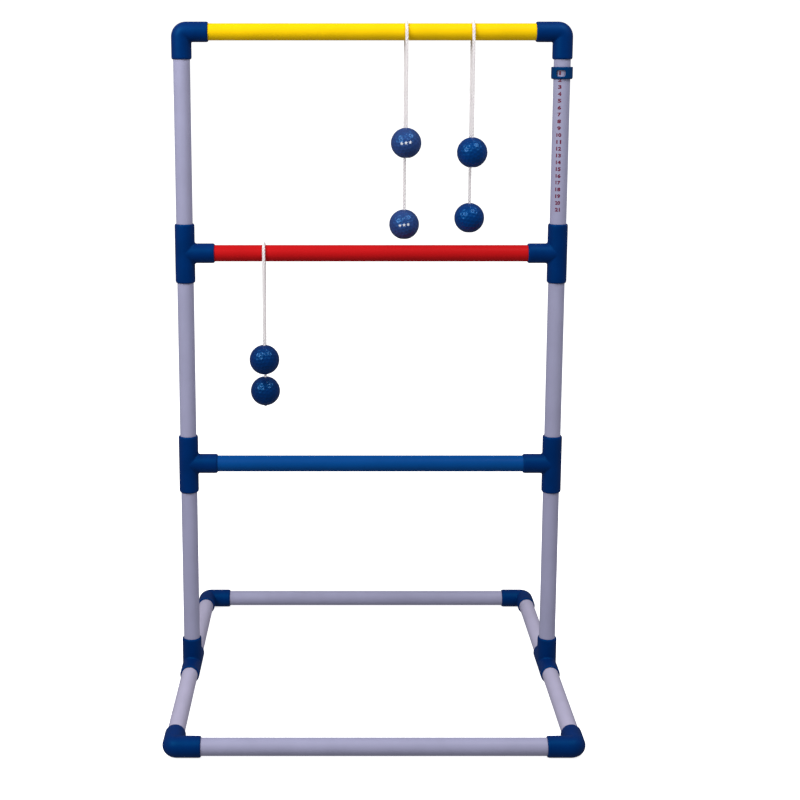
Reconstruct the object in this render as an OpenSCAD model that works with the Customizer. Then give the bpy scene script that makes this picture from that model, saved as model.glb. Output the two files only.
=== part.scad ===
// Ladder toss target: a tube ladder on a square base, a sliding score ring
// and three two-ball bolas hung over its rungs.
// Origin on the floor, under the middle of the frame. +X runs along the rungs,
// +Y runs to the rear and +Z is up.

/* [Frame] */
// Distance between the axes of the two posts
post_spacing = 565; // [450:5:700]
// Height from one rung's axis to the next
rung_pitch = 330; // [300:5:400]
// Distance between the axes of the front and rear base tubes
base_depth = 565; // [300:5:700]

/* [Tubes] */
// Outside diameter of every tube
tube_d = 25; // [23:0.5:26]
// Wall thickness of every tube
tube_wall = 2; // [1.5:0.1:3]

/* [Fittings] */
// Outside diameter of a fitting's sockets
fitting_d = 30; // [29:0.5:34]
// Reach of a tee's arm from its centre to its mouth
tee_arm = 45; // [36:1:55]
// Reach of an elbow's arm from its centre to its mouth
elbow_arm = 40; // [36:1:55]
// Radius of an elbow's outer corner, on its axis plane
elbow_corner_r = 22; // [18:1:28]
// Distance from a fitting's centre to the tube ends inside it
tube_stop = 16; // [15:0.5:22]
// Chamfer outside each socket's mouth
mouth_chamfer = 1.5; // [0.5:0.1:1.8]
// Chamfer inside each socket's mouth, which leads the tube in
lead_in = 0.4; // [0.2:0.1:0.6]
// Gap around a tube in its socket
socket_gap = 0.05; // [0.02:0.01:0.1]

/* [Score ring] */
// Outside diameter of the score ring
ring_d = 32; // [30:0.5:36]
// Height of the score ring
ring_h = 18; // [14:1:24]
// Height of the ring's middle when it shows the first number
ring_z = 945; // [900:0.5:950]
// Gap around the post inside the ring
ring_gap = 0.1; // [0.05:0.01:0.1]
// Width of the window that shows one number
window_w = 13.5; // [8:0.5:15]
// Height of the window
window_h = 9.5; // [7:0.5:12]
// Corner radius of the window
window_corner_r = 3; // [1:0.5:3.5]
// Distance of the window's middle below the ring's middle
window_drop = 0.5; // [0:0.1:1]
// Angle of the window from straight ahead, towards the left post
window_turn = 14; // [0:1:20]

/* [Bolas] */
// Diameter of a bola's ball
ball_d = 45.5; // [40:0.5:48]
// Diameter of the rope
rope_d = 5; // [4:0.5:6]
// Diameter of the hole through a ball
ball_hole_d = 6; // [5.5:0.1:8]
// Diameter of the pocket that hides the knot
pocket_d = 12; // [11.5:0.5:14]
// Distance from a ball's centre out to the floor of its knot pocket
pocket_floor = 14; // [10:0.5:17]
// Diameter of a knot
knot_d = 10.8; // [9:0.1:11.2]
// Length of a knot that stays inside its pocket
knot_h = 7.2; // [5:0.1:8]
// Length of the one knot that stands out of its pocket
long_knot_h = 10; // [8:0.5:14]

/* [Hidden] */

$fn = 64;
post_x = post_spacing / 2;
base_y = base_depth / 2;
base_z = fitting_d / 2;
bottom_z = base_z + rung_pitch;
middle_z = bottom_z + rung_pitch;
top_z = middle_z + rung_pitch;

tube_r = tube_d / 2;
tube_bore_r = tube_r - tube_wall;
fitting_r = fitting_d / 2;
socket_r = tube_r + socket_gap;
elbow_bend_r = elbow_corner_r - fitting_r;
// Chamfer around the ring's top, and its taper [in, up] around the bottom
ring_edge = 0.6;
ring_taper = [1.8, 2.6];

// Gap between a ball's pocket floor and the knot it rests on
knot_gap = 0.3;
ball_above_knot = pocket_floor + knot_gap;
rope_sides = 10;
knot_shoulder = 2.4;
// Length of the straight stretch between two rings of a rope's tube
ring_step = 40;
eps = 0.01;

fitting_blue = [0.02, 0.20, 0.45];
tube_white = [0.80, 0.79, 0.88];
ball_blue = [0.02, 0.16, 0.42];
rope_white = [0.92, 0.90, 0.90];

// The arch of a rope over a rung, seen along the rung: [y, z] from the rung's
// axis, from the front side over the top to the rear side.
arch = [[-15.7, 0], [-14.5, 6], [-11.1, 11.1], [-6, 14.5], [0, 15.7],
        [6, 14.5], [11.1, 11.1], [14.5, 6], [15.7, 0]];
arch_r = arch[len(arch) - 1][0];

// Each rope: [front strand x, rear strand x, front knot z, rear knot z, rung z].
// A knot's z is where the rope enters it.
first_rope = [51, 50.5, 828, 703, top_z];
second_rope = [149.5, 149.5, 814, 713, top_z];
third_rope = [-162.5, -163, 499, 443, middle_z];

// Straight tube from one end to the other, along +Z
module tube(length) {
    difference() {
        cylinder(h = length, r = tube_r);
        translate([0, 0, -1]) cylinder(h = length + 2, r = tube_bore_r);
    }
}

module tube_x(x0, x1) {
    translate([x0, 0, 0]) rotate([0, 90, 0]) tube(x1 - x0);
}

module tube_y(y0, y1) {
    translate([0, y0, 0]) rotate([-90, 0, 0]) tube(y1 - y0);
}

module rung(z) {
    translate([0, 0, z]) tube_x(-post_x + tube_stop, post_x - tube_stop);
}

module post(side, z_low, z_high) {
    translate([side * post_x, 0, z_low + tube_stop])
        tube(z_high - z_low - 2 * tube_stop);
}

module side_tube(side, y_low, y_high) {
    translate([side * post_x, 0, base_z]) tube_y(y_low + tube_stop, y_high - tube_stop);
}

module cross_tube(y) {
    translate([0, y, base_z]) tube_x(-post_x + tube_stop, post_x - tube_stop);
}

// Outside of one socket, along +Z from the fitting's centre
module arm_outside(reach) {
    cylinder(h = reach - mouth_chamfer, r = fitting_r);
    translate([0, 0, reach - mouth_chamfer])
        cylinder(h = mouth_chamfer, r1 = fitting_r, r2 = fitting_r - mouth_chamfer);
}

// Inside of one socket: the tube's seat, its lead-in and the way past its stop
module arm_inside(reach) {
    translate([0, 0, tube_stop]) cylinder(h = reach - tube_stop + 1, r = socket_r);
    translate([0, 0, reach - lead_in])
        cylinder(h = lead_in + eps, r1 = socket_r, r2 = socket_r + lead_in);
    cylinder(h = tube_stop + 1, r = tube_bore_r);
}

// Tee with its run along Z and its branch along +X
module tee() {
    difference() {
        union() {
            arm_outside(tee_arm);
            mirror([0, 0, 1]) arm_outside(tee_arm);
            rotate([0, 90, 0]) arm_outside(tee_arm);
        }
        arm_inside(tee_arm);
        mirror([0, 0, 1]) arm_inside(tee_arm);
        rotate([0, 90, 0]) arm_inside(tee_arm);
    }
}

// Quarter bend of a round bar about the point where the arms' bend is centred
module bend(r) {
    translate([elbow_bend_r, 0, elbow_bend_r]) rotate([90, 0, 0]) rotate([0, 0, 180])
        rotate_extrude(angle = 90)
            intersection() {
                translate([elbow_bend_r, 0]) circle(r = r);
                translate([0, -r]) square([elbow_bend_r + r, 2 * r]);
            }
}

// One arm's solid from the end of the bend to its mouth, along +Z
module elbow_arm_outside() {
    translate([0, 0, elbow_bend_r])
        cylinder(h = elbow_arm - elbow_bend_r - mouth_chamfer, r = fitting_r);
    translate([0, 0, elbow_arm - mouth_chamfer])
        cylinder(h = mouth_chamfer, r1 = fitting_r, r2 = fitting_r - mouth_chamfer);
}

// Elbow with arms along +X and +Z
module elbow() {
    difference() {
        union() {
            elbow_arm_outside();
            rotate([0, 90, 0]) elbow_arm_outside();
            bend(fitting_r);
        }
        arm_inside(elbow_arm);
        rotate([0, 90, 0]) arm_inside(elbow_arm);
    }
}

module rung_tee(side, z) {
    translate([side * post_x, 0, z]) rotate([0, 0, side > 0 ? 180 : 0]) tee();
}

module base_tee(side) {
    translate([side * post_x, 0, base_z]) rotate([0, 0, 90]) rotate([0, -90, 0]) tee();
}

module top_elbow(side) {
    translate([side * post_x, 0, top_z])
        rotate([0, 0, side > 0 ? 180 : 0]) mirror([0, 0, 1]) elbow();
}

// Elbow lying flat at a corner of the base, its arms towards the middle
module base_elbow(side_x, side_y) {
    translate([side_x * post_x, side_y * base_y, base_z])
        mirror([side_x > 0 ? 1 : 0, 0, 0]) rotate([side_y > 0 ? 90 : -90, 0, 0]) elbow();
}

// Score ring: a band with a rounded window through its front
module ring_band() {
    ring_r = ring_d / 2;
    bore_r = tube_r + ring_gap;
    low = -ring_h / 2;
    high = ring_h / 2;
    rotate_extrude()
        polygon([[bore_r, low], [ring_r - ring_taper[0], low],
                 [ring_r, low + ring_taper[1]], [ring_r, high - ring_edge],
                 [ring_r - ring_edge, high], [bore_r, high]]);
}

module window_outline() {
    flat_w = window_w - 2 * window_corner_r;
    flat_h = window_h - 2 * window_corner_r;
    square([flat_w, window_h], center = true);
    square([window_w, flat_h], center = true);
    for (x = [-1, 1], z = [-1, 1])
        translate([x * flat_w / 2, z * flat_h / 2]) circle(r = window_corner_r);
}

module score_ring() {
    translate([post_x, 0, ring_z]) rotate([0, 0, -window_turn])
        difference() {
            ring_band();
            translate([0, 0, -window_drop])
                rotate([90, 0, 0]) linear_extrude(height = ring_d) window_outline();
        }
}

// A rope's route from its front knot, over the rung, to its rear knot
function rope_route(r) = [
    [r[0], -arch_r, r[2]],
    for (i = [0 : len(arch) - 1])
        [r[0] + (r[1] - r[0]) * i / (len(arch) - 1), arch[i][0], r[4] + arch[i][1]],
    [r[1], arch_r, r[3]]
];

// The same route with its long straight stretches cut into equal steps
function steps(a, b) = max(1, round(norm(b - a) / ring_step));
function filled(p) = [
    for (i = [0 : len(p) - 2]) let (n = steps(p[i], p[i + 1]))
        for (k = [0 : n - 1]) p[i] + (p[i + 1] - p[i]) * k / n,
    p[len(p) - 1]
];

// Ring of points around a route point, square to the route there. A route lies
// in planes near x = const, so +X is always one side of the ring.
function unit(v) = v / norm(v);
function heading(p, i) = unit(p[min(i + 1, len(p) - 1)] - p[max(i - 1, 0)]);
function ring_points(p, i, r) =
    let (t = heading(p, i), side = unit(cross(t, cross([1, 0, 0], t))), up = cross(t, side))
    [for (k = [0 : rope_sides - 1])
        p[i] + r * (cos(360 * k / rope_sides) * side + sin(360 * k / rope_sides) * up)];

module rope(r) {
    p = filled(rope_route(r));
    last = len(p) - 1;
    points = [for (i = [0 : last]) each ring_points(p, i, rope_d / 2)];
    sides = [for (i = [0 : last - 1], k = [0 : rope_sides - 1])
        let (a = i * rope_sides + k, b = i * rope_sides + (k + 1) % rope_sides)
        [a, a + rope_sides, b + rope_sides, b]];
    caps = [[for (k = [0 : rope_sides - 1]) k],
            [for (k = [rope_sides - 1 : -1 : 0]) last * rope_sides + k]];
    polyhedron(points = points, faces = concat(sides, caps));
}

// Ball with a hole along Z and a pocket for the knot underneath
module ball(x, y, knot_z) {
    translate([x, y, knot_z + ball_above_knot])
        difference() {
            sphere(d = ball_d, $fn = 96);
            cylinder(h = ball_d + 2, d = ball_hole_d, center = true);
            translate([0, 0, -ball_d]) cylinder(h = ball_d - pocket_floor, d = pocket_d);
        }
}

// Knot with its flat top where the rope enters it
module knot(x, y, knot_z, length) {
    translate([x, y, knot_z])
        rotate_extrude()
            polygon([[0, 0], [knot_d / 2 - knot_shoulder, 0], [knot_d / 2, -knot_shoulder],
                     [knot_d / 2, -length + knot_shoulder],
                     [knot_d / 2 - knot_shoulder, -length], [0, -length]]);
}

module front_ball(r) { color(ball_blue) ball(r[0], -arch_r, r[2]); }
module rear_ball(r) { color(ball_blue) ball(r[1], arch_r, r[3]); }
module front_knot(r, length) { color(rope_white) knot(r[0], -arch_r, r[2], length); }
module rear_knot(r, length) { color(rope_white) knot(r[1], arch_r, r[3], length); }

// Frame
color("gold") rung(top_z);  // top_rung
color("crimson") rung(middle_z);  // middle_rung
color("royalblue") rung(bottom_z);  // bottom_rung

color(tube_white) post(-1, middle_z, top_z);  // left_upper_post
color(tube_white) post(-1, bottom_z, middle_z);  // left_middle_post
color(tube_white) post(-1, base_z, bottom_z);  // left_lower_post
color(tube_white) post(1, middle_z, top_z);  // right_upper_post
color(tube_white) post(1, bottom_z, middle_z);  // right_middle_post
color(tube_white) post(1, base_z, bottom_z);  // right_lower_post

color(fitting_blue) top_elbow(-1);  // top_left_elbow
color(fitting_blue) top_elbow(1);  // top_right_elbow
color(fitting_blue) rung_tee(-1, middle_z);  // middle_left_tee
color(fitting_blue) rung_tee(1, middle_z);  // middle_right_tee
color(fitting_blue) rung_tee(-1, bottom_z);  // bottom_left_tee
color(fitting_blue) rung_tee(1, bottom_z);  // bottom_right_tee
color(fitting_blue) base_tee(-1);  // base_left_tee
color(fitting_blue) base_tee(1);  // base_right_tee
color(fitting_blue) base_elbow(-1, -1);  // front_left_elbow
color(fitting_blue) base_elbow(1, -1);  // front_right_elbow
color(fitting_blue) base_elbow(-1, 1);  // rear_left_elbow
color(fitting_blue) base_elbow(1, 1);  // rear_right_elbow

color(tube_white) cross_tube(-base_y);  // base_front_tube
color(tube_white) cross_tube(base_y);  // base_rear_tube
color(tube_white) side_tube(-1, -base_y, 0);  // base_left_front_tube
color(tube_white) side_tube(-1, 0, base_y);  // base_left_rear_tube
color(tube_white) side_tube(1, -base_y, 0);  // base_right_front_tube
color(tube_white) side_tube(1, 0, base_y);  // base_right_rear_tube

// Score ring
color(fitting_blue) score_ring();

// First bola, left on the top rung
color(rope_white) rope(first_rope);  // first_bola_rope
front_ball(first_rope);  // first_bola_front_ball
rear_ball(first_rope);  // first_bola_rear_ball
front_knot(first_rope, knot_h);  // first_bola_front_knot
rear_knot(first_rope, knot_h);  // first_bola_rear_knot

// Second bola, right on the top rung
color(rope_white) rope(second_rope);  // second_bola_rope
front_ball(second_rope);  // second_bola_front_ball
rear_ball(second_rope);  // second_bola_rear_ball
front_knot(second_rope, knot_h);  // second_bola_front_knot
rear_knot(second_rope, knot_h);  // second_bola_rear_knot

// Third bola, on the middle rung
color(rope_white) rope(third_rope);  // third_bola_rope
front_ball(third_rope);  // third_bola_front_ball
rear_ball(third_rope);  // third_bola_rear_ball
front_knot(third_rope, knot_h);  // third_bola_front_knot
rear_knot(third_rope, long_knot_h);  // third_bola_rear_knot
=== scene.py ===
"""Looks of the ladder toss target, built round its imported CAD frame.

Everything is in metres. +X runs along the rungs, +Y to the rear and +Z is up.
"""
import math

import bmesh
import bpy
import numpy as np
from mathutils import Euler, Matrix, Vector


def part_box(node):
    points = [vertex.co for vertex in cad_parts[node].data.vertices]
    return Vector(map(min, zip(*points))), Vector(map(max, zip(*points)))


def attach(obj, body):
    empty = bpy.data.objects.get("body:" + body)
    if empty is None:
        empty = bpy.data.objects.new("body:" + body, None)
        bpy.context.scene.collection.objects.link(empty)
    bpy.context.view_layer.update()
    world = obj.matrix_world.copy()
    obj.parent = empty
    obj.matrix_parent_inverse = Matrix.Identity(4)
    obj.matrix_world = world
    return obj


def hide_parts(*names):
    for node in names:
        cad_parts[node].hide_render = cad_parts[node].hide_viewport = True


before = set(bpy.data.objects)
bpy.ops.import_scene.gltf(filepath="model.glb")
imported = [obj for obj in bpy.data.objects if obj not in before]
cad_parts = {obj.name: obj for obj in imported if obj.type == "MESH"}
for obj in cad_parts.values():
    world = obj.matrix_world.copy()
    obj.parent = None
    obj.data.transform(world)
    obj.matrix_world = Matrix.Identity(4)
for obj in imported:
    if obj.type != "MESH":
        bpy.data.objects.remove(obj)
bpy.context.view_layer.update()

MM = 0.001
X, Y, Z = Vector((1, 0, 0)), Vector((0, 1, 0)), Vector((0, 0, 1))


def middle(node):
    low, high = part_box(node)
    return (low + high) / 2


def extent(node):
    low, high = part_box(node)
    return high - low


# ---------------------------------------------------------------- camera

CAMERA_AT = (-0.0527, -2.1574, 0.962)
# How far the camera looks down, in degrees
CAMERA_DOWN = 9.8
CAMERA_LENS = 64.46
CAMERA_SHIFT = (0.0795, -0.114)


def make_camera():
    """Stands in front, a little left of the middle and below the top rung, and looks slightly down."""
    data = bpy.data.cameras.new("camera")
    data.lens = CAMERA_LENS
    data.shift_x = CAMERA_SHIFT[0]
    data.shift_y = CAMERA_SHIFT[1]
    camera = bpy.data.objects.new("camera", data)
    camera.location = CAMERA_AT
    camera.rotation_euler = (math.radians(90 - CAMERA_DOWN), 0, 0)
    bpy.context.scene.collection.objects.link(camera)
    bpy.context.scene.camera = camera


# ---------------------------------------------------------------- meshes

class Surface:
    """Points and faces gathered patch by patch, then welded into one closed mesh."""

    def __init__(self):
        self.points = []
        self.faces = []
        self.marks = []

    def patch(self, rows, closed=False, marks=None):
        """Quads over rows of points. In a closed patch each row runs round to its own start."""
        rows = np.asarray(rows, float)
        count, width = rows.shape[:2]
        start = len(self.points)
        self.points.extend(map(tuple, rows.reshape(-1, 3)))
        if marks is not None:
            self.marks.extend(map(tuple, np.asarray(marks, float).reshape(-1, 2)))
        for i in range(count - 1):
            low = start + i * width
            for j in range(width if closed else width - 1):
                k = (j + 1) % width
                self.faces.append((low + j, low + k, low + width + k, low + width + j))

    def cap(self, first, width):
        """One face over the ring of points that starts at index first."""
        self.faces.append(tuple(range(first, first + width)))

    def capped(self, rows, marks=None):
        """A closed patch with a face over each of its ends."""
        first = len(self.points)
        width = np.shape(rows)[1]
        self.patch(rows, closed=True, marks=marks)
        self.cap(first, width)
        self.cap(len(self.points) - width, width)

    def piece(self, name, weld=2e-6, sharp=None):
        """The object. Its marks, if any, become a UV map, read as two plain numbers by materials."""
        data = bpy.data.meshes.new(name)
        data.from_pydata(self.points, [], self.faces)
        if self.marks:
            marks = np.array(self.marks)
            corners = np.zeros(len(data.loops), int)
            data.loops.foreach_get("vertex_index", corners)
            data.uv_layers.new(name="marks").data.foreach_set("uv", marks[corners].ravel())
        shell = bmesh.new()
        shell.from_mesh(data)
        if weld:
            bmesh.ops.remove_doubles(shell, verts=shell.verts, dist=weld)
        bmesh.ops.recalc_face_normals(shell, faces=shell.faces)
        shell.to_mesh(data)
        shell.free()
        data.shade_smooth()
        if sharp:
            data.set_sharp_from_angle(angle=math.radians(sharp))
        return linked(name, data)


def linked(name, data):
    piece = bpy.data.objects.new(name, data)
    bpy.context.scene.collection.objects.link(piece)
    return piece


def circle(count):
    """Cosines and sines of count equal steps round a circle."""
    turn = np.arange(count) * 2 * math.pi / count
    return np.cos(turn), np.sin(turn)


def travelled(points):
    """The distance gone along a line at each of its points."""
    return np.concatenate([[0], np.cumsum(np.linalg.norm(np.diff(points, axis=0), axis=1))])


def lathe_rows(profile, count, centre=(0, 0, 0)):
    """Rows of points for a profile of (radius, z) turned round Z."""
    c, s = circle(count)
    return [
        np.stack([r * c + centre[0], r * s + centre[1], np.full(count, z + centre[2])], axis=1)
        for r, z in profile
    ]


def rounding(centre, radius, start, stop, steps):
    """Points of an arc from angle start to angle stop, in degrees."""
    turn = np.radians(np.linspace(start, stop, steps + 1))
    return [(centre[0] + radius * math.cos(a), centre[1] + radius * math.sin(a)) for a in turn]


# ---------------------------------------------------------------- materials

def make_material(name, **sockets):
    """New node material with its shader's own sockets set. Returns the material's tree and shader."""
    material = bpy.data.materials.new(name)
    material.use_nodes = True
    shader = material.node_tree.nodes["Principled BSDF"]
    for key, value in sockets.items():
        shader.inputs[key.replace("_", " ")].default_value = value
    return material, material.node_tree, shader


def add(tree, kind, settings=None, **inputs):
    """New node. Each input is a value or another node's output."""
    made = tree.nodes.new("ShaderNode" + kind)
    for key, value in (settings or {}).items():
        setattr(made, key, value)
    for key, value in inputs.items():
        join(tree, value, made.inputs[key.replace("_", " ")])
    return made


def join(tree, value, socket):
    if isinstance(value, bpy.types.NodeSocket):
        tree.links.new(value, socket)
    else:
        socket.default_value = value


def mixed(tree, share, first, second):
    """Colour that goes from first to second as share goes from 0 to 1."""
    made = tree.nodes.new("ShaderNodeMix")
    made.data_type = "RGBA"
    join(tree, share, made.inputs[0])
    join(tree, first, made.inputs[6])
    join(tree, second, made.inputs[7])
    return made.outputs[2]


def ranged(tree, value, low, high, to_low=0.0, to_high=1.0):
    """Value carried from the range low..high to to_low..to_high, and held at its ends."""
    made = add(tree, "MapRange", None, Value=value, From_Min=low, From_Max=high,
               To_Min=to_low, To_Max=to_high)
    return made.outputs["Result"]


def maths(tree, operation, first, second):
    made = tree.nodes.new("ShaderNodeMath")
    made.operation = operation
    join(tree, first, made.inputs[0])
    join(tree, second, made.inputs[1])
    return made.outputs[0]


def place(tree, stretch=(1, 1, 1)):
    """The surface's place on the object, in metres, squeezed by stretch along each axis."""
    where = add(tree, "TexCoord").outputs["Object"]
    return add(tree, "Mapping", None, Vector=where, Scale=stretch).outputs["Vector"]


def noise(tree, where, size, detail=2.0, roughness=0.5):
    """Soft random field from 0 to 1, with blotches of about that size in metres."""
    made = add(tree, "TexNoise", None, Vector=where, Scale=1 / size, Detail=detail, Roughness=roughness)
    return made.outputs["Fac"]


def bump(tree, shader, height, depth, strength):
    """Raises the surface by height, a field from 0 to 1, times depth in metres."""
    made = add(tree, "Bump", None, Strength=strength, Distance=depth, Height=height)
    tree.links.new(made.outputs["Normal"], shader.inputs["Normal"])


def shade(colour, factor):
    """The same colour, lighter or darker."""
    return tuple(min(1.0, c * factor) for c in colour[:3]) + (1.0,)


def drawn(along, share):
    """Scale of a field that makes its blotches run long along one axis."""
    return tuple(share if axis == along else 1.0 for axis in "xyz")


def extruded_plastic(name, colour, along, shine, rough=0.42, scuff=0.35):
    """Tube drawn out through a die: faint lines along it, slow changes of tone, and small scuffs."""
    material, tree, shader = make_material(name, IOR=1.5, Specular_IOR_Level=shine)
    lines = noise(tree, place(tree, drawn(along, 0.02)), 0.7 * MM, detail=3)
    tone = noise(tree, place(tree), 45 * MM, detail=2)
    marks = noise(tree, place(tree, drawn(along, 0.25)), 5 * MM, detail=6, roughness=0.7)
    scuffed = ranged(tree, marks, 0.62, 0.72)
    base = mixed(tree, ranged(tree, tone, 0.35, 0.65), shade(colour, 0.96), shade(colour, 1.04))
    base = mixed(tree, ranged(tree, lines, 0.3, 0.7, 0.0, 0.35), base, shade(colour, 0.94))
    base = mixed(tree, maths(tree, "MULTIPLY", scuffed, 0.25 * scuff), base, shade(colour, 0.72))
    tree.links.new(base, shader.inputs["Base Color"])
    satin = ranged(tree, lines, 0.3, 0.7, rough - 0.03, rough + 0.05)
    satin = maths(tree, "ADD", satin, maths(tree, "MULTIPLY", scuffed, 0.2 * scuff))
    tree.links.new(satin, shader.inputs["Roughness"])
    bump(tree, shader, lines, 0.03 * MM, strength=0.5)
    return material


# Tint of the sheen on the blue mouldings, fitted
FITTING_SHEEN = (0.01, 0.42, 0.85, 1)


def moulded_plastic(name, colour, rough=0.52, shine=0.45):
    """Satin moulded plastic: fine orange peel, slight flow tone, and edges that catch a little wear."""
    material, tree, shader = make_material(
        name, IOR=1.5, Specular_IOR_Level=shine, Specular_Tint=FITTING_SHEEN)
    tone = noise(tree, place(tree), 22 * MM, detail=3)
    peel = noise(tree, place(tree), 1.1 * MM, detail=2)
    grit = noise(tree, place(tree), 2.4 * MM, detail=7, roughness=0.75)
    edge = add(tree, "NewGeometry").outputs["Pointiness"]
    worn = ranged(tree, maths(tree, "ADD", edge, maths(tree, "MULTIPLY", grit, 0.05)), 0.56, 0.66)
    base = mixed(tree, ranged(tree, tone, 0.35, 0.65), shade(colour, 0.93), shade(colour, 1.07))
    base = mixed(tree, maths(tree, "MULTIPLY", worn, 0.35), base, shade(colour, 1.7))
    tree.links.new(base, shader.inputs["Base Color"])
    scuffed = ranged(tree, grit, 0.6, 0.75, 0.0, 0.14)
    satin = ranged(tree, tone, 0.3, 0.7, rough - 0.03, rough + 0.04)
    tree.links.new(maths(tree, "ADD", satin, scuffed), shader.inputs["Roughness"])
    bump(tree, shader, peel, 0.02 * MM, strength=0.5)
    return material


# Tint of a ball's broad sheen, fitted rather than taken from a known plastic
BALL_SHEEN = (0.03, 0.42, 1.0, 1)


def ball_plastic(name, colour):
    """Glossy ball cover: a lacquer coat over slightly mottled colour, darker in the dimples."""
    material, tree, shader = make_material(
        name, IOR=1.5, Specular_IOR_Level=0.9, Specular_Tint=BALL_SHEEN, Coat_Weight=0.1, Coat_Roughness=0.14)
    tone = noise(tree, place(tree), 9 * MM, detail=3)
    specks = noise(tree, place(tree), 1.2 * MM, detail=5, roughness=0.7)
    hollow = ranged(tree, add(tree, "NewGeometry").outputs["Pointiness"], 0.46, 0.5, 1.0, 0.0)
    base = mixed(tree, ranged(tree, tone, 0.35, 0.65), shade(colour, 0.9), shade(colour, 1.1))
    base = mixed(tree, maths(tree, "MULTIPLY", hollow, 0.25), base, shade(colour, 0.6))
    base = mixed(tree, ranged(tree, specks, 0.66, 0.76, 0.0, 0.3), base, shade(colour, 1.8))
    tree.links.new(base, shader.inputs["Base Color"])
    tree.links.new(ranged(tree, specks, 0.35, 0.75, 0.34, 0.48), shader.inputs["Roughness"])
    bump(tree, shader, specks, 0.01 * MM, strength=0.3)
    return material


def rope_fibre(name, colour, painted_shade):
    """Spun fibre, with painted shade in the hollows between its strands and yarns. The marks are the turn
    round a strand and the distance along it, in metres.
    """
    material, tree, shader = make_material(
        name, Roughness=0.88, IOR=1.45, Sheen_Weight=0.35, Sheen_Roughness=0.5)
    marks = add(tree, "UVMap", {"uv_map": "marks"}).outputs["UV"]
    fibres = add(tree, "Mapping", None, Vector=marks, Scale=(9, 260, 1)).outputs["Vector"]
    hairs = add(tree, "TexNoise", None, Vector=fibres, Scale=2.2, Detail=4.0, Roughness=0.6).outputs["Fac"]
    grime = noise(tree, place(tree), 14 * MM, detail=4)
    hollow = ranged(tree, add(tree, "NewGeometry").outputs["Pointiness"], 0.40, 0.52, 1.0, 0.0)
    base = mixed(tree, ranged(tree, hairs, 0.35, 0.65), shade(colour, 0.9), shade(colour, 1.05))
    base = mixed(tree, ranged(tree, grime, 0.45, 0.75, 0.0, 0.35), base, shade(colour, 0.82))
    # Painted shade: the hollows between strands and yarns are darkened towards the shade colour
    base = mixed(tree, maths(tree, "MULTIPLY", hollow, 0.6), base, painted_shade)
    tree.links.new(base, shader.inputs["Base Color"])
    bump(tree, shader, hairs, 0.12 * MM, strength=0.7)
    return material


def printed_ink(name, colour):
    """Screen-printed ink: a little thin in places."""
    material, tree, shader = make_material(name, IOR=1.5)
    film = noise(tree, place(tree), 0.8 * MM, detail=4, roughness=0.7)
    base = mixed(tree, ranged(tree, film, 0.4, 0.7), colour, shade(colour, 1.5))
    tree.links.new(base, shader.inputs["Base Color"])
    tree.links.new(ranged(tree, film, 0.3, 0.7, 0.4, 0.55), shader.inputs["Roughness"])
    return material


def finish_with(piece, material):
    piece.data.materials.clear()
    piece.data.materials.append(material)


# ---------------------------------------------------------------- ropes

ROPE_D = 5 * MM
# Length of rope in which a strand goes round once
ROPE_LAY = 15 * MM
ROPE_STRANDS = 3
# A strand's radius, and how far its middle is from the rope's middle
STRAND_R = 1.3 * MM
STRAND_OUT = ROPE_D / 2 - STRAND_R
# Yarns in a strand, which turn against the rope's own lay and so lie along the rope
YARNS = 5
YARN_LAY = 13 * MM
YARN_RELIEF = 0.07
STRAND_SIDES = 20
# Turn from one strand's yarns to the next strand's, so that they don't match
YARN_TURN = 2.1
ROPE_STEP = 0.75 * MM

# The arch of a rope over its rung, seen along the rung: (y, z) from the rung's axis, front to rear
ARCH = [(-0.0157, 0), (-0.0145, 0.006), (-0.0111, 0.0111), (-0.006, 0.0145), (0, 0.0157),
        (0.006, 0.0145), (0.0111, 0.0111), (0.0145, 0.006), (0.0157, 0)]
# A soft rope flattens onto its rung, so its middle comes this much closer over the arch
PRESSED = 0.957
# How far below its rung a strand still hangs straight, clear of a ball pushed right up
STRAIGHT_TO = 24 * MM

# Each bola: x of its front and rear strands, z where they enter their knots, and its rung
BOLAS = {
    "first_bola": (0.051, 0.0505, 0.828, 0.703, "top_rung"),
    "second_bola": (0.1495, 0.1495, 0.814, 0.713, "top_rung"),
    "third_bola": (-0.1625, -0.163, 0.499, 0.443, "middle_rung"),
}


def rope_route(bola):
    """The route's own points: front knot, over the rung, rear knot."""
    front_x, rear_x, front_z, rear_z, rung = BOLAS[bola]
    top = middle(rung).z
    last = len(ARCH) - 1
    arch = [
        (front_x + (rear_x - front_x) * i / last, y * PRESSED, top + z * PRESSED)
        for i, (y, z) in enumerate(ARCH)
    ]
    front = [(front_x, ARCH[0][0], front_z), (front_x, ARCH[0][0], top - STRAIGHT_TO)]
    rear = [(rear_x, ARCH[-1][0], top - STRAIGHT_TO), (rear_x, ARCH[-1][0], rear_z)]
    return front + arch + rear


def even_steps(points, step):
    """The same line with points about step apart."""
    points = np.array(points, float)
    along = travelled(points)
    at = np.linspace(0, along[-1], round(along[-1] / step) + 1)
    return np.stack([np.interp(at, along, points[:, k]) for k in range(3)], axis=1)


def eased(points, passes=12):
    """The same line with its corners rounded and its ends kept."""
    points = points.copy()
    for _ in range(passes):
        points[1:-1] = (points[:-2] + 2 * points[1:-1] + points[2:]) / 4
    return points


def frame_along(line):
    """Side and up directions, square to the line, that don't turn about it."""
    ahead = np.gradient(line, axis=0)
    ahead /= np.linalg.norm(ahead, axis=1)[:, None]
    side = np.array(X) - ahead * (ahead @ np.array(X))[:, None]
    side /= np.linalg.norm(side, axis=1)[:, None]
    return side, np.cross(ahead, side)


def turns_along(gone, sides):
    """Angles round a line: a row of equal steps for each of its points."""
    turn = np.arange(sides) * 2 * math.pi / sides
    return turn[None, :] + 0 * gone[:, None]


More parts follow.
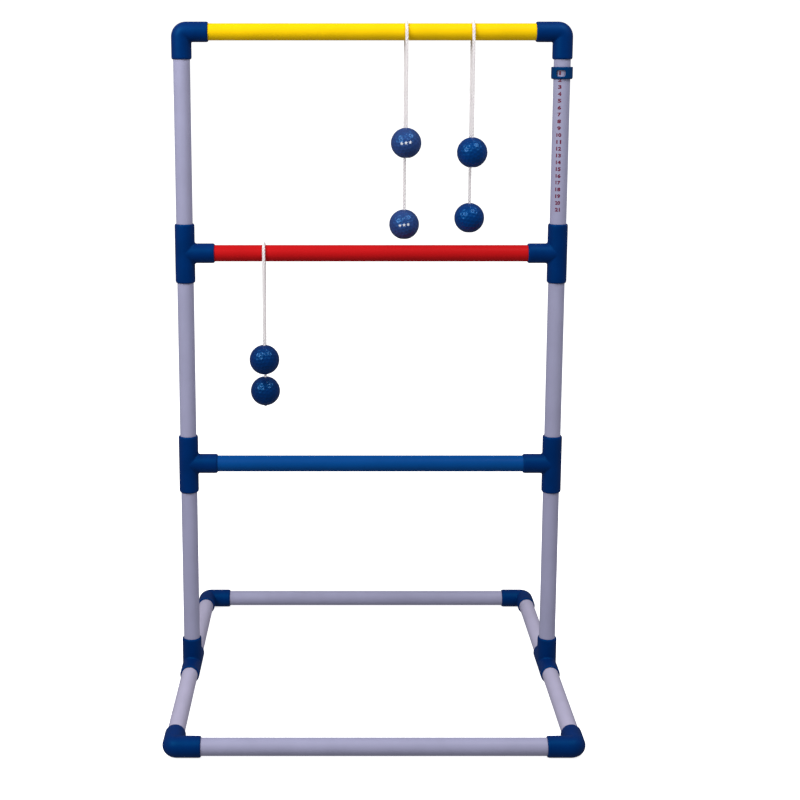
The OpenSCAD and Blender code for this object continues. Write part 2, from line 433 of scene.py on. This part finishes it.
def add_round(surface, line, side, up, gone, around, size):
    """A solid run along a line. Its marks are the turn round it and the distance along it."""
    rows = (line[:, None, :] + (size * np.cos(around))[..., None] * side[:, None, :]
            + (size * np.sin(around))[..., None] * up[:, None, :])
    marks = np.stack([around / (2 * math.pi), gone[:, None] + 0 * around], axis=2)
    surface.capped(rows, marks)


def add_strand(surface, line, radius, start_turn):
    """One strand along its own line, with its yarns as shallow lobes."""
    side, up = frame_along(line)
    gone = travelled(line)
    around = turns_along(gone, STRAND_SIDES)
    twist = 2 * math.pi * gone / YARN_LAY + start_turn
    size = radius * (1 - YARN_RELIEF + YARN_RELIEF * np.cos(YARNS * (around + twist[:, None])))
    add_round(surface, line, side, up, gone, around, size)


def add_laid_rope(surface, line):
    """Strands laid round a line."""
    side, up = frame_along(line)
    gone = travelled(line)
    for k in range(ROPE_STRANDS):
        turn = 2 * math.pi * (gone / ROPE_LAY + k / ROPE_STRANDS)
        strand = line + STRAND_OUT * (np.cos(turn)[:, None] * side + np.sin(turn)[:, None] * up)
        add_strand(surface, strand, STRAND_R, k * YARN_TURN)


def make_rope(bola, material):
    """The rope of one bola."""
    line = eased(even_steps(rope_route(bola), ROPE_STEP))
    surface = Surface()
    add_laid_rope(surface, line)
    rope = surface.piece(f"{bola}_laid_rope", weld=0)
    finish_with(rope, material)
    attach(rope, bola)
    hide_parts(f"{bola}_rope")
    length = float(np.linalg.norm(np.diff(line, axis=0), axis=1).sum())
    tuple(line[0])
    [tuple(p) for p in line]


# Size of a knot's rope against the rope outside it, because a pulled knot is packed tight
KNOT_SCALE = 0.74
KNOT_BODY_H = 7.2 * MM
# How the room round a knot's rope is shared by its ring and by the waves in that ring
KNOT_RING = 0.62
KNOT_WAVE = 0.38
KNOT_POINTS = 150
KNOT_SIDES = 24
KNOT_LAY = 9 * MM
KNOT_RELIEF = 0.2
# The cut end stops this far above the bottom of its room
TAIL_CLEAR = 0.3 * MM
TAIL_STEP = 0.4 * MM


def make_knot(node, bola, material):
    """A pulled overhand knot in the space of its CAD plug, with its cut end hanging out below."""
    low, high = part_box(node)
    centre = (low + high) / 2
    reach = (high.x - low.x) / 2
    rope_r = KNOT_SCALE * ROPE_D / 2
    body_h = min(high.z - low.z, KNOT_BODY_H)
    ring = KNOT_RING * (reach - rope_r)
    wave = KNOT_WAVE * (reach - rope_r)
    lift = body_h / 2 - rope_r
    turn = np.linspace(0, 2 * math.pi, KNOT_POINTS)
    loop = np.stack([
        (ring + wave * np.cos(3 * turn)) * np.cos(2 * turn) + centre.x,
        (ring + wave * np.cos(3 * turn)) * np.sin(2 * turn) + centre.y,
        lift * np.sin(3 * turn) + high.z - body_h / 2,
    ], axis=1)
    surface = Surface()
    add_knot_strands(surface, loop, rope_r)
    tail = [(centre.x + 0.5 * MM, centre.y - 0.6 * MM, high.z - body_h * 0.6),
            (centre.x + 0.3 * MM, centre.y - 0.3 * MM, high.z - body_h * 0.85),
            (centre.x, centre.y, low.z + TAIL_CLEAR)]
    add_knot_strands(surface, even_steps(tail, TAIL_STEP), rope_r)
    knot = surface.piece(f"{node}_tied", weld=0)
    finish_with(knot, material)
    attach(knot, bola)
    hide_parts(node)
    return knot


def add_knot_strands(surface, line, radius):
    """Laid strands round any line, kept from turning by carrying their side direction along it."""
    ahead = np.gradient(line, axis=0)
    ahead /= np.linalg.norm(ahead, axis=1)[:, None]
    side = np.zeros_like(line)
    side[0] = np.cross(ahead[0], (0.3, 0.5, 0.8))
    for i in range(len(line)):
        side[i] = side[max(i - 1, 0)]
        side[i] -= ahead[i] * (side[i] @ ahead[i])
        side[i] /= np.linalg.norm(side[i])
    up = np.cross(ahead, side)
    gone = travelled(line)
    around = turns_along(gone, KNOT_SIDES)
    twist = 2 * math.pi * gone / KNOT_LAY
    laid = np.abs(np.cos(ROPE_STRANDS / 2 * (around - twist[:, None])))
    size = radius * (1 - KNOT_RELIEF + KNOT_RELIEF * laid ** 0.6)
    add_round(surface, line, side, up, gone, around, size)


# ---------------------------------------------------------------- balls

DIMPLES = 192
DIMPLE_R = 2.5 * MM
DIMPLE_DEPTH = 0.45 * MM
# Power that shapes a dimple's side: higher is softer at its edge
DIMPLE_SOFT = 1.2
BALL_ROWS = 116
BALL_COLUMNS = 192
HOLE_R = 3 * MM
POCKET_R = 6 * MM
POCKET_FLOOR = 14 * MM
RIM_R = 0.6 * MM
# A rim's depth into the hole against its reach across the cover, and the angles of its points
RIM_FLAT = 0.9
RIM_TURNS = np.radians([30, 60, 90])
# Steps in which the ball's points are pushed apart, and the longest push, in ball radii
SPREAD_STEPS = 160
SPREAD_PUSH = 0.03


def spread_points(count):
    """Directions spread evenly over a sphere: a spiral, then each pushed away from the others."""
    step = np.arange(count) + 0.5
    height = 1 - 2 * step / count
    turn = step * math.pi * (3 - math.sqrt(5))
    flat = np.sqrt(1 - height**2)
    points = np.stack([flat * np.cos(turn), flat * np.sin(turn), height], axis=1)
    for _ in range(SPREAD_STEPS):
        apart = points[:, None, :] - points[None, :, :]
        distance = np.linalg.norm(apart, axis=2) + np.eye(count)
        push = (apart / distance[..., None] ** 5).sum(axis=1)
        push -= points * (push * points).sum(axis=1)[:, None]
        largest = np.linalg.norm(push, axis=1).max()
        points = points + push / largest * SPREAD_PUSH
        points /= np.linalg.norm(points, axis=1)[:, None]
    return points


def dimple_depth(directions, dimples, radius):
    """How far the cover dips in each direction, in metres."""
    nearest = np.clip((directions @ dimples.T).max(axis=1), -1, 1)
    share = np.clip(np.arccos(nearest) * radius / DIMPLE_R, 0, 1)
    return DIMPLE_DEPTH * (1 - share**2) ** DIMPLE_SOFT


def ball_centre(node):
    """Middle of a ball and its radius, from the top of its box, which the rope's hole cuts."""
    low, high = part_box(node)
    radius = (high.x - low.x) / 2
    top = math.sqrt(radius**2 - HOLE_R**2)
    return Vector(((low.x + high.x) / 2, (low.y + high.y) / 2, high.z - top)), radius


def hole_rim(hole_r, z, inwards):
    """Rounded rim of a hole in a ball, from the cover in. Inwards is 1 or -1 along Z."""
    return [(hole_r + RIM_R * (1 - math.sin(t)), z + inwards * RIM_R * (1 - math.cos(t)) * RIM_FLAT)
            for t in RIM_TURNS]


def make_ball(node, material, turn, dimples):
    """Dimpled ball with a rope hole and a knot pocket. Returns where its dimples are."""
    centre, radius = ball_centre(node)
    turned = dimples @ np.array(Euler(turn).to_matrix()).T
    top_start = math.asin((HOLE_R + RIM_R) / radius)
    low_start = math.asin((POCKET_R + RIM_R) / radius)
    polar = np.linspace(top_start, math.pi - low_start, BALL_ROWS)
    c, s = circle(BALL_COLUMNS)
    cover = []
    for a in polar:
        way = np.stack([math.sin(a) * c, math.sin(a) * s, np.full(BALL_COLUMNS, math.cos(a))], axis=1)
        near_rim = min(1.0, (a - top_start) * radius / MM, (math.pi - low_start - a) * radius / MM)
        depth = dimple_depth(way, turned, radius) * near_rim
        cover.append(way * (radius - depth)[:, None] + np.array(centre))
    top_rim = hole_rim(HOLE_R, radius * math.cos(top_start), -1)
    low_rim = hole_rim(POCKET_R, -radius * math.cos(low_start), 1)
    inside = [*low_rim, (POCKET_R, -POCKET_FLOOR), (HOLE_R, -POCKET_FLOOR), *reversed(top_rim)]
    surface = Surface()
    rows = cover + lathe_rows(inside, BALL_COLUMNS, centre) + [cover[0]]
    surface.patch(rows, closed=True)
    ball = surface.piece(f"{node}_cover", sharp=50)
    finish_with(ball, material)
    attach(ball, node)
    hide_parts(node)
    return turned


STARS = 3
STAR_R = 3 * MM
# A star's inner corners against its points, and the distance from star to star
STAR_WAIST = 0.45
STAR_PITCH = 6.6 * MM
STAR_EDGE_STEPS = 5
# The rows of a star's faces, as shares of its size
STAR_SHARES = (0.03, 0.25, 0.5, 0.75, 1)
# The print faces the front, a little to the left and upwards, and climbs to the right
PRINT_WAY = (-0.05, -0.997, 0.06)
PRINT_TILT = math.radians(9)
PRINT_H = 0.06 * MM


def make_print(node, material, dimples):
    """A plain mark printed across the front of a ball: small stars in a row."""
    centre, radius = ball_centre(node)
    ahead = np.array(PRINT_WAY)
    right = np.cross(np.array(Z), ahead)
    right /= np.linalg.norm(right)
    up = np.cross(ahead, right)
    sizes = np.array([1, STAR_WAIST] * 5 + [1]) * STAR_R
    turn = np.radians(90 + 36 * np.arange(11))
    corners = np.stack([sizes * np.cos(turn), sizes * np.sin(turn)], axis=1)
    outline = np.concatenate([
        np.linspace(corners[k], corners[k + 1], STAR_EDGE_STEPS + 1)[:-1] for k in range(10)
    ])
    surface = Surface()
    for star in range(STARS):
        shift = (star - (STARS - 1) / 2) * STAR_PITCH
        middle_at = np.array([shift, shift * math.tan(PRINT_TILT)])
        rows = []
        layers = [(share, PRINT_H) for share in STAR_SHARES]
        layers += [(share, -PRINT_H) for share in reversed(STAR_SHARES)]
        for share, lift in layers:
            flat = (outline * share + middle_at) / radius
            way = ahead + flat[:, :1] * right + flat[:, 1:] * up
            way /= np.linalg.norm(way, axis=1)[:, None]
            size = radius - dimple_depth(way, dimples, radius) + lift
            rows.append(way * size[:, None] + np.array(centre))
        surface.capped(rows)
    mark = surface.piece(f"{node}_stars", weld=0, sharp=40)
    finish_with(mark, material)
    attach(mark, node)


# ---------------------------------------------------------------- fittings

FITTING_SIDES = 64
MOUTH_R = 1.9 * MM
# The rounding reaches this much further along a mouth than across it
MOUTH_STRETCH = 1.6
LEAD_IN = 0.4 * MM
TUBE_STOP = 16 * MM
TUBE_WALL = 2 * MM
SOCKET_GAP = 0.05 * MM
TEE_FILLET = 3 * MM
ELBOW_FILLET = 1.6 * MM
ELBOW_CORNER_R = 22 * MM
STRAIGHT_STEPS = 8
ARC_STEPS = 14
# Steps in the rounded edges of the fittings' mouths and of the score ring
EDGE_STEPS = 6

tube_r = extent("top_rung").z / 2
socket_r = tube_r + SOCKET_GAP
bore_r = tube_r - TUBE_WALL
fitting_r = extent("middle_left_tee").y / 2
tee_arm = extent("middle_left_tee").z / 2
elbow_arm = middle("top_rung").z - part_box("top_left_elbow")[0].z


def turning_line(inner, side, reach, corner_r):
    """Points from the end of the Z arm round to the end of the X arm, at one place round the arms."""
    start = inner + corner_r
    arc = np.linspace(0, math.pi / 2, ARC_STEPS + 1)[1:-1]
    down = np.linspace(reach, start, STRAIGHT_STEPS + 1)
    xs = [np.full(len(down), inner), start - corner_r * np.cos(arc), down[::-1]]
    zs = [down, start - corner_r * np.sin(arc), np.full(len(down), inner)]
    x, z = np.concatenate(xs), np.concatenate(zs)
    return np.stack([x, np.full(len(x), side), z], axis=1)


def add_elbow_skin(surface, radius, reach, bend_r, fillet):
    """Skin of an elbow of one radius, with its inner corner blended by fillet."""
    c, s = circle(FITTING_SIDES)
    lines = []
    for cosine, sine in zip(c, s):
        inner = radius * cosine
        outside = bend_r - inner
        corner_r = (outside + fillet + math.hypot(outside - fillet, fillet)) / 2
        lines.append(turning_line(inner, radius * sine, reach, corner_r))
    surface.patch(np.swapaxes(lines, 0, 1), closed=True)


def add_tee_skin(surface, radius, reach, fillet):
    """Skin of a tee of one radius: two blended quarters on its branch's side, and a half round back."""
    quarter = FITTING_SIDES // 4
    turn = np.arange(-quarter, quarter + 1) * 2 * math.pi / FITTING_SIDES
    front = []
    for a in turn:
        ahead = max(math.cos(a), 0)
        front.append(turning_line(radius * ahead, radius * math.sin(a), reach, fillet * ahead))
    front = np.array(front)
    surface.patch(np.swapaxes(front, 0, 1))
    surface.patch(np.swapaxes(front * (1, 1, -1), 0, 1))
    upper = np.linspace(reach, 0, STRAIGHT_STEPS + 1)
    lower = np.linspace(0, -reach, STRAIGHT_STEPS + 1)[1:]
    run = np.concatenate([upper, lower])
    back = math.pi + turn
    surface.patch([[(radius * math.cos(a), radius * math.sin(a), z) for a in back] for z in run])


def add_mouth(surface, arm, ahead, first, second):
    """Rounded mouth, socket and inner stop of one arm, which points along ahead."""
    edge = rounding((fitting_r - MOUTH_R, 0), MOUTH_R, 0, 90, EDGE_STEPS)
    profile = [*((r, arm - MOUTH_STRETCH * (MOUTH_R - z)) for r, z in edge),
               (socket_r + LEAD_IN, arm), (socket_r, arm - LEAD_IN),
               (socket_r, TUBE_STOP), (bore_r, TUBE_STOP)]
    c, s = circle(FITTING_SIDES)
    around = c[:, None] * np.array(first) + s[:, None] * np.array(second)
    surface.patch([r * around + z * np.array(ahead) for r, z in profile], closed=True)


def elbow_surface():
    """Elbow with its arms along Z and X."""
    surface = Surface()
    skin_end = elbow_arm - MOUTH_STRETCH * MOUTH_R
    bend_r = ELBOW_CORNER_R - fitting_r
    add_elbow_skin(surface, fitting_r, skin_end, bend_r, ELBOW_FILLET)
    add_elbow_skin(surface, bore_r, TUBE_STOP, bend_r, 0.0)
    add_mouth(surface, elbow_arm, Z, X, Y)
    add_mouth(surface, elbow_arm, X, Z, Y)
    return surface


def tee_surface():
    """Tee with its run along Z and its branch along X."""
    surface = Surface()
    add_tee_skin(surface, fitting_r, tee_arm - MOUTH_STRETCH * MOUTH_R, TEE_FILLET)
    add_tee_skin(surface, bore_r, TUBE_STOP, 0.0)
    add_mouth(surface, tee_arm, Z, X, Y)
    add_mouth(surface, tee_arm, -Z, X, Y)
    add_mouth(surface, tee_arm, X, Z, Y)
    return surface


def placed(centre, x_axis, z_axis):
    """The move that puts a fitting's branch along x_axis and its run along z_axis."""
    y_axis = z_axis.cross(x_axis)
    return Matrix.Translation(centre) @ Matrix((x_axis, y_axis, z_axis)).transposed().to_4x4()


def make_fittings(material):
    elbow, tee = elbow_surface(), tee_surface()
    left_x, right_x = middle("left_upper_post").x, middle("right_upper_post").x
    front_y, rear_y = middle("base_front_tube").y, middle("base_rear_tube").y
    base_z = middle("base_front_tube").z
    top_z, middle_z, bottom_z = (middle(n).z for n in ("top_rung", "middle_rung", "bottom_rung"))
    spots = {}
    for side, x, inwards in (("left", left_x, X), ("right", right_x, -X)):
        spots[f"top_{side}_elbow"] = (elbow, (x, 0, top_z), inwards, -Z)
        spots[f"middle_{side}_tee"] = (tee, (x, 0, middle_z), inwards, Z)
        spots[f"bottom_{side}_tee"] = (tee, (x, 0, bottom_z), inwards, Z)
        spots[f"base_{side}_tee"] = (tee, (x, 0, base_z), Z, Y)
        spots[f"front_{side}_elbow"] = (elbow, (x, front_y, base_z), inwards, Y)
        spots[f"rear_{side}_elbow"] = (elbow, (x, rear_y, base_z), inwards, -Y)
    for node, (surface, centre, x_axis, z_axis) in spots.items():
        piece = surface.piece(f"{node}_moulding", sharp=35)
        piece.data.transform(placed(centre, x_axis, z_axis))
        finish_with(piece, material)
        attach(piece, "frame")
        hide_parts(node)


# ---------------------------------------------------------------- score ring

RING_GAP = 0.1 * MM
RING_TOP_R = 0.9 * MM
# The ring's underside is rounded further: in across it, and up along it
RING_FOOT = (2.2 * MM, 2.6 * MM)
RING_BREAK = 0.3 * MM
WINDOW_W = 13.5 * MM
WINDOW_H = 9.5 * MM
WINDOW_CORNER_R = 3 * MM
WINDOW_DROP = 0.5 * MM
WINDOW_RIM_R = 0.7 * MM
# Turn of the window from straight ahead, towards the left post
WINDOW_TURN = math.radians(14)
# Half the angle of the field round the window, and the steps along each side of that field
FIELD_HALF = 0.75
FIELD_STEPS = 28
FIELD_SHARES = np.linspace(0, 1, 7)
BAND_STEPS = 84
WINDOW_RIM_TURNS = np.radians([22, 45, 67, 90])
FOOT_TURNS = np.radians(np.linspace(0, 90, 8))


def window_outline(grow):
    """The rounded window grown on all sides, as (across, up), from its upper right corner round."""
    flat = np.array([WINDOW_W / 2 - WINDOW_CORNER_R, WINDOW_H / 2 - WINDOW_CORNER_R])
    signs = [(1, 1), (-1, 1), (-1, -1), (1, -1)]
    outline = []
    for k in range(4):
        here, after = flat * signs[k], flat * signs[(k + 1) % 4]
        turn = 45 + 90 * k
        side = [*rounding(here, WINDOW_CORNER_R + grow, turn, turn + 45, 8),
                *rounding(after, WINDOW_CORNER_R + grow, turn + 45, turn + 90, 8)]
        gone = travelled(side)
        at = np.linspace(0, gone[-1], FIELD_STEPS + 1)[:-1]
        outline.append(np.stack([np.interp(at, gone, np.array(side)[:, i]) for i in range(2)], axis=1))
    return np.concatenate(outline)


def field_outline(low, high):
    """The field's border as (angle, up), with its points in step with the window's."""
    corners = [(FIELD_HALF, high), (-FIELD_HALF, high), (-FIELD_HALF, low), (FIELD_HALF, low)]
    return np.concatenate([
        np.linspace(corners[k], corners[(k + 1) % 4], FIELD_STEPS + 1)[:-1] for k in range(4)
    ])


def make_score_ring(material):
    """Band with rounded edges and a rounded window through which one number shows."""
    centre = np.array(middle("score_ring"))
    outer_r = extent("score_ring").x / 2
    inner_r = tube_r + RING_GAP
    half_h = extent("score_ring").z / 2
    low, high = -half_h + RING_FOOT[1], half_h - RING_TOP_R
    out = np.array((-math.sin(WINDOW_TURN), -math.cos(WINDOW_TURN), 0))
    across = np.array((math.cos(WINDOW_TURN), -math.sin(WINDOW_TURN), 0))

    def at(radius, angle, up):
        radius, angle, up = np.broadcast_arrays(radius, angle, up)
        flat = (radius * np.cos(angle))[..., None] * out + (radius * np.sin(angle))[..., None] * across
        return flat + up[..., None] * np.array(Z) + centre

    def window_at(radius, grow):
        outline = window_outline(grow)
        return np.stack([np.arcsin(outline[:, 0] / radius), outline[:, 1] - WINDOW_DROP], axis=1)

    border = field_outline(low, high)
    outer_window = window_at(outer_r, WINDOW_RIM_R)
    inner_window = window_at(inner_r, 0)
    rows = [at(outer_r, *(border * (1 - k) + outer_window * k).T) for k in FIELD_SHARES]
    for t in WINDOW_RIM_TURNS:
        radius = outer_r - WINDOW_RIM_R * (1 - math.cos(t))
        rows.append(at(radius, *window_at(radius, WINDOW_RIM_R * (1 - math.sin(t))).T))
    rows += [at(inner_r, *(inner_window * (1 - k) + border * k).T) for k in FIELD_SHARES]
    surface = Surface()
    surface.patch(rows, closed=True)

    rest = np.linspace(FIELD_HALF, 2 * math.pi - FIELD_HALF, BAND_STEPS + 1)
    for radius in (outer_r, inner_r):
        surface.patch([at(radius, rest, up) for up in np.linspace(low, high, FIELD_STEPS + 1)])
    around = np.concatenate([np.linspace(-FIELD_HALF, FIELD_HALF, FIELD_STEPS + 1)[:-1], rest[:-1]])
    top = [*rounding((outer_r - RING_TOP_R, high), RING_TOP_R, 0, 90, EDGE_STEPS),
           (inner_r + RING_BREAK, half_h), (inner_r, half_h - RING_BREAK), (inner_r, high)]
    foot = [(outer_r - RING_FOOT[0] * (1 - math.cos(t)), low - RING_FOOT[1] * math.sin(t))
            for t in FOOT_TURNS]
    foot += [(inner_r + RING_BREAK, -half_h), (inner_r, RING_BREAK - half_h), (inner_r, low)]
    for profile in (top, foot):
        surface.patch([at(radius, around, up) for radius, up in profile], closed=True)
    ring = surface.piece("score_ring_band", sharp=40)
    finish_with(ring, material)
    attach(ring, "score_ring")
    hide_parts("score_ring")


# ---------------------------------------------------------------- printed numbers

NUMBERS = 21
NUMBER_PITCH = 10.12 * MM
FIRST_NUMBER_Z = 944.9 * MM
NUMBER_H = 5.8 * MM
ONE_DIGIT_W = 5.6 * MM
TWO_DIGIT_W = 7.6 * MM
# Width of the lone 1 against the other single digits
ONE_NARROW = 0.55
# How much the strokes are fattened, against the height of the type. More breaks their outlines
BOLD = 0.05
# The column leans a little round the post: its turn from straight ahead, top and bottom
NUMBER_TURN = (math.radians(22), math.radians(15.5))
INK_H = 0.04 * MM
# Widest strip of ink left flat before it is bent round the post
INK_STRIP = 0.6 * MM


def number_mesh(number):
    """A number as a thin flat solid, centred, with the height and width that it is printed at."""
    text = bpy.data.curves.new("number", "FONT")
    text.body = str(number)
    text.resolution_u = 3
    text.extrude = 1.0
    text.offset = BOLD
    holder = bpy.data.objects.new("number", text)
    bpy.context.scene.collection.objects.link(holder)
    bpy.context.view_layer.update()
    mesh = bpy.data.meshes.new_from_object(holder.evaluated_get(bpy.context.evaluated_depsgraph_get()))
    bpy.data.objects.remove(holder)
    bpy.data.curves.remove(text)
    flat = bmesh.new()
    flat.from_mesh(mesh)
    bpy.data.meshes.remove(mesh)
    xs = [v.co.x for v in flat.verts]
    ys = [v.co.y for v in flat.verts]
    across = {1: ONE_DIGIT_W * (ONE_NARROW if number == 1 else 1.0), 2: TWO_DIGIT_W}[len(str(number))]
    wide, high = (max(xs) - min(xs)), (max(ys) - min(ys))
    for v in flat.verts:
        v.co.x = (v.co.x - (min(xs) + max(xs)) / 2) / wide * across
        v.co.y = (v.co.y - (min(ys) + max(ys)) / 2) / high * NUMBER_H
        v.co.z *= INK_H
    bmesh.ops.remove_doubles(flat, verts=flat.verts, dist=1e-6)
    for cut in np.arange(-TWO_DIGIT_W / 2, TWO_DIGIT_W / 2, INK_STRIP):
        bmesh.ops.bisect_plane(flat, geom=flat.verts[:] + flat.edges[:] + flat.faces[:],
                               plane_co=(cut, 0, 0), plane_no=(1, 0, 0))
    return flat


def make_numbers(material):
    """The score printed down the right upper post, as one piece of thin ink."""
    post = middle("right_upper_post")
    ink = bmesh.new()
    for number in range(1, NUMBERS + 1):
        share = (number - 1) / (NUMBERS - 1)
        turn = NUMBER_TURN[0] + (NUMBER_TURN[1] - NUMBER_TURN[0]) * share
        flat = number_mesh(number)
        for v in flat.verts:
            a = turn - v.co.x / tube_r
            out = tube_r + v.co.z
            v.co = (post.x - out * math.sin(a), post.y - out * math.cos(a),
                    FIRST_NUMBER_Z - (number - 1) * NUMBER_PITCH + v.co.y)
        part = bpy.data.meshes.new("number")
        flat.to_mesh(part)
        flat.free()
        ink.from_mesh(part)
        bpy.data.meshes.remove(part)
    data = bpy.data.meshes.new("score_numbers")
    ink.to_mesh(data)
    ink.free()
    numbers = linked("score_numbers", data)
    finish_with(numbers, material)
    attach(numbers, "frame")


# ---------------------------------------------------------------- studio

# How brightly the floor and the background show, and the dim surround that the object reflects
FLOOR_GLOW = 0.85
BACKGROUND = 1.1
SURROUND_LOW = 0.36
SURROUND_HIGH = 0.44
# The share of the surround that mirror-like reflections pick up
REFLECTED_SHARE = 0.3
FLOOR_REACH = 40.0
FLOOR_TONES = ((0.90, 0.90, 0.90, 1), (0.93, 0.93, 0.93, 1))
# Each softbox: where it is, its side in metres and its power in watts
LEFT_BOX = ((-1.35, -1.2, 1.9), 1.05, 34)
RIGHT_BOX = ((1.15, -1.0, 2.9), 0.9, 31)
# The point that the softboxes face
LIT_POINT = (0, 0, 0.55)


def make_light(name, where, size, power):
    """Soft square light that faces the middle of the ladder."""
    data = bpy.data.lights.new(name, "AREA")
    data.shape = "SQUARE"
    data.size = size
    data.energy = power
    light = linked(name, data)
    light.location = where
    light.rotation_euler = (Vector(LIT_POINT) - Vector(where)).to_track_quat("-Z", "Y").to_euler()


def make_studio():
    """White floor and background. The object is lit by two softboxes and a dim grey surround."""
    corners = [(x * FLOOR_REACH, y * FLOOR_REACH, 0) for x, y in ((-1, -1), (1, -1), (1, 1), (-1, 1))]
    floor = bpy.data.meshes.new("floor")
    floor.from_pydata(corners, [], [(0, 1, 2, 3)])
    floor = linked("floor", floor)
    floor.visible_diffuse = False
    floor.visible_glossy = False
    material, tree, shader = make_material("pale_floor", Roughness=0.9, Emission_Strength=FLOOR_GLOW)
    shader.inputs["Emission Color"].default_value = (1, 1, 1, 1)
    mottle = noise(tree, place(tree), 0.4, detail=3)
    tree.links.new(mixed(tree, mottle, *FLOOR_TONES), shader.inputs["Base Color"])
    finish_with(floor, material)

    world = bpy.data.worlds.new("studio")
    world.use_nodes = True
    tree = world.node_tree
    tree.nodes["Background"].inputs["Color"].default_value = (1, 1, 1, 1)
    ahead = add(tree, "TexCoord").outputs["Generated"]
    height = add(tree, "SeparateXYZ", None, Vector=ahead).outputs["Z"]
    surround = ranged(tree, height, -0.6, 0.8, SURROUND_LOW, SURROUND_HIGH)
    rays = add(tree, "LightPath").outputs
    reflected = ranged(tree, rays["Is Glossy Ray"], 0, 1, 1, REFLECTED_SHARE)
    lighting = maths(tree, "MULTIPLY", surround, reflected)
    strength = maths(tree, "MAXIMUM", lighting, maths(tree, "MULTIPLY", rays["Is Camera Ray"], BACKGROUND))
    tree.links.new(strength, tree.nodes["Background"].inputs["Strength"])
    bpy.context.scene.world = world

    make_light("left_softbox", *LEFT_BOX)
    make_light("right_softbox", *RIGHT_BOX)
    scene = bpy.context.scene
    scene.view_settings.view_transform = "Standard"
    scene.view_settings.look = "None"


# ---------------------------------------------------------------- build

WHITE = (0.355, 0.352, 0.515, 1)
# The side tubes of the base, fitted: they look lighter and warmer, cause unknown
WARM_WHITE = (0.455, 0.43, 0.59, 1)
YELLOW = (0.95, 0.60, 0.001, 1)
RED = (0.51, 0.006, 0.008, 1)
BLUE = (0.0005, 0.06, 0.255, 1)
FITTING_BLUE = (0.0001, 0.018, 0.125, 1)
RING_BLUE = (0.0001, 0.030, 0.135, 1)
ROPE_WHITE = (0.88, 0.84, 0.85, 1)
# Colour of the painted shade in the hollows between the rope's strands
ROPE_PAINTED_SHADE = (0.38, 0.32, 0.34, 1)
PRINT_WHITE = (0.62, 0.66, 0.78, 1)
NUMBER_RED = (0.13, 0.002, 0.03, 1)
BALL_COLOURS = {
    "first_bola": (0.022, 0.048, 0.185, 1),
    "second_bola": (0.0002, 0.027, 0.16, 1),
    "third_bola": (0.0002, 0.017, 0.115, 1),
}
RUNG_SHINE = 0.06
WHITE_SHINE = 0.25

make_camera()

rope_material = rope_fibre("rope_white", ROPE_WHITE, ROPE_PAINTED_SHADE)
for bola in BOLAS:
    tied = [make_knot(f"{bola}_{end}_knot", bola, rope_material) for end in ("front", "rear")]
    make_rope(bola, rope_material)

dimples = spread_points(DIMPLES)
white_ink = printed_ink("white_ink", PRINT_WHITE)
for i, (bola, colour) in enumerate(BALL_COLOURS.items()):
    cover = ball_plastic(f"{bola}_cover", colour)
    for j, end in enumerate(("front", "rear")):
        # Each ball is turned its own way, so that no two show the same dimples
        turn = (0.4 + 1.1 * i, 0.3 + 0.7 * j, 0.9 * i + 1.7 * j)
        turned = make_ball(f"{bola}_{end}_ball", cover, turn, dimples)
        if bola == "first_bola":
            make_print(f"{bola}_{end}_ball", white_ink, turned)

make_fittings(moulded_plastic("fitting_blue", FITTING_BLUE))
make_numbers(printed_ink("number_ink", NUMBER_RED))

TUBES = {
    "top_rung": ("yellow_tube", YELLOW, "x", RUNG_SHINE),
    "middle_rung": ("red_tube", RED, "x", RUNG_SHINE),
    "bottom_rung": ("blue_tube", BLUE, "x", RUNG_SHINE),
}
for side in ("left", "right"):
    for level in ("upper", "middle", "lower"):
        TUBES[f"{side}_{level}_post"] = ("white_upright", WHITE, "z", WHITE_SHINE)
    for end in ("front", "rear"):
        TUBES[f"base_{side}_{end}_tube"] = ("white_side_tube", WARM_WHITE, "y", WHITE_SHINE)
for end in ("front", "rear"):
    TUBES[f"base_{end}_tube"] = ("white_cross_tube", WHITE, "x", WHITE_SHINE)
made = {}
for node, (name, colour, along, shine) in TUBES.items():
    if name not in made:
        made[name] = extruded_plastic(name, colour, along, shine=shine)
    finish_with(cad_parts[node], made[name])

make_score_ring(moulded_plastic("ring_blue", RING_BLUE))

make_studio()
